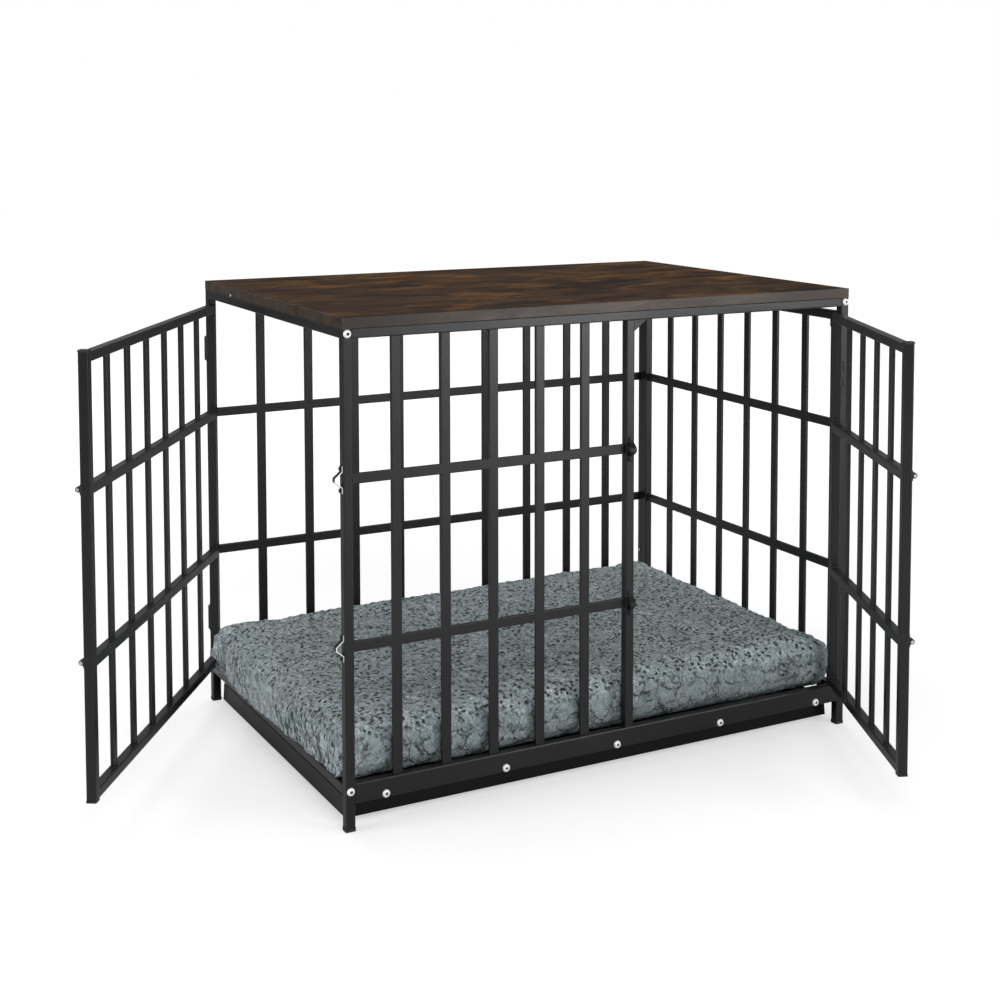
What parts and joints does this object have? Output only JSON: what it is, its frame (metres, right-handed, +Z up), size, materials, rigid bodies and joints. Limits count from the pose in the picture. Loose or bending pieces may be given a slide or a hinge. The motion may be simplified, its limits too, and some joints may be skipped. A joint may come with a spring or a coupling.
{
  "type": "dog crate end table",
  "caption": "Dog crate end table: steel bar crate with a wood-look top, two hinged doors with slide bolts, a slide-out tray and a plush cushion.",
  "frame": {"origin": "middle of the underside of the front left foot", "axes": "+X along the crate's length to its right end, +Y from the front to the back, +Z up"},
  "size_m": [1.1063, 0.9026, 0.66],
  "materials": {
    "black_coat": "satin black powder coat",
    "black_plastic": "matt",
    "zinc": "bright zinc plate",
    "wood_board": "rustic brown laminate",
    "edge_band": "printed brown edging",
    "plush": "blue-grey curly plush"
  },
  "bodies": {
    "frame": {"back_bottom_rail": "black_coat", "back_grille": "black_coat", "back_left_foot": "black_plastic", "back_left_post": "black_coat", "back_right_foot": "black_plastic", "back_right_post": "black_coat", "back_top_rail": "black_coat", "back_tray_runner": "black_coat", "cushion": "plush", "floor_frame": "black_coat", "front_bottom_rail": "black_coat", "front_door_lower_hinge_frame_leaf": "black_coat", "front_door_upper_hinge_frame_leaf": "black_coat", "front_grille": "black_coat", "front_left_foot": "black_plastic", "front_left_post": "black_coat", "front_left_post_lower_keeper": "zinc", "front_left_post_upper_keeper": "zinc", "front_right_foot": "black_plastic", "front_right_post": "black_coat", "front_stile": "black_coat", "front_stile_lower_keeper": "zinc", "front_stile_upper_keeper": "zinc", "front_top_rail": "black_coat", "front_tray_runner": "black_coat", "left_bottom_rail": "black_coat", "left_door_lower_hinge_frame_leaf": "black_coat", "left_door_upper_hinge_frame_leaf": "black_coat", "left_top_rail": "black_coat", "post_bolt_bottom_left": "zinc", "post_bolt_top_left": "zinc", "post_bolt_top_right": "zinc", "rail_bolt_1": "zinc", "rail_bolt_2": "zinc", "rail_bolt_3": "zinc", "rail_bolt_4": "zinc", "rail_bolt_5": "zinc", "right_panel": "black_coat", "right_top_rail": "black_coat", "tabletop": "wood_board", "tabletop_edge_band": "edge_band"},
    "left_door": {"left_door": "black_coat", "left_door_bottom_cap": "black_plastic", "left_door_lower_hinge_door_leaf": "black_coat", "left_door_lower_slide_bolt_guide": "black_coat", "left_door_top_cap": "black_plastic", "left_door_upper_hinge_door_leaf": "black_coat", "left_door_upper_slide_bolt_guide": "black_coat"},
    "front_door": {"front_door": "black_coat", "front_door_bottom_cap": "black_plastic", "front_door_lower_hinge_door_leaf": "black_coat", "front_door_lower_slide_bolt_guide": "black_coat", "front_door_top_cap": "black_plastic", "front_door_upper_hinge_door_leaf": "black_coat", "front_door_upper_slide_bolt_guide": "black_coat"},
    "tray": {"tray": "black_coat"},
    "left_upper_rod": {"left_door_upper_slide_bolt_rod": "zinc"},
    "left_lower_rod": {"left_door_lower_slide_bolt_rod": "zinc"},
    "front_upper_rod": {"front_door_upper_slide_bolt_rod": "zinc"},
    "front_lower_rod": {"front_door_lower_slide_bolt_rod": "zinc"}
  },
  "joints": [
    {"name": "left_door_hinge", "type": "hinge", "parent": "frame", "child": "left_door", "pos_m": [-0.0099, 0.5515, 0.345], "axis": [0, 0, -1], "range_deg": [-33.6, 136.4]},
    {"name": "front_door_hinge", "type": "hinge", "parent": "frame", "child": "front_door", "pos_m": [0.7795, -0.0099, 0.345], "axis": [0, 0, 1], "range_deg": [-66.7, 103.3]},
    {"name": "left_upper_bolt_slide", "type": "slide", "parent": "left_door", "child": "left_upper_rod", "axis": [-0.5534, -0.8329, 0], "range_m": [0, 0.0155]},
    {"name": "left_lower_bolt_slide", "type": "slide", "parent": "left_door", "child": "left_lower_rod", "axis": [-0.5534, -0.8329, 0], "range_m": [0, 0.0155]},
    {"name": "front_upper_bolt_slide", "type": "slide", "parent": "front_door", "child": "front_upper_rod", "axis": [-0.3955, -0.9184, 0], "range_m": [0, 0.0155]},
    {"name": "front_lower_bolt_slide", "type": "slide", "parent": "front_door", "child": "front_lower_rod", "axis": [-0.3955, -0.9184, 0], "range_m": [0, 0.0155]},
    {"name": "tray_slide", "type": "slide", "parent": "frame", "child": "tray", "axis": [-1, 0, 0], "range_m": [0, 0.6]}
  ]
}
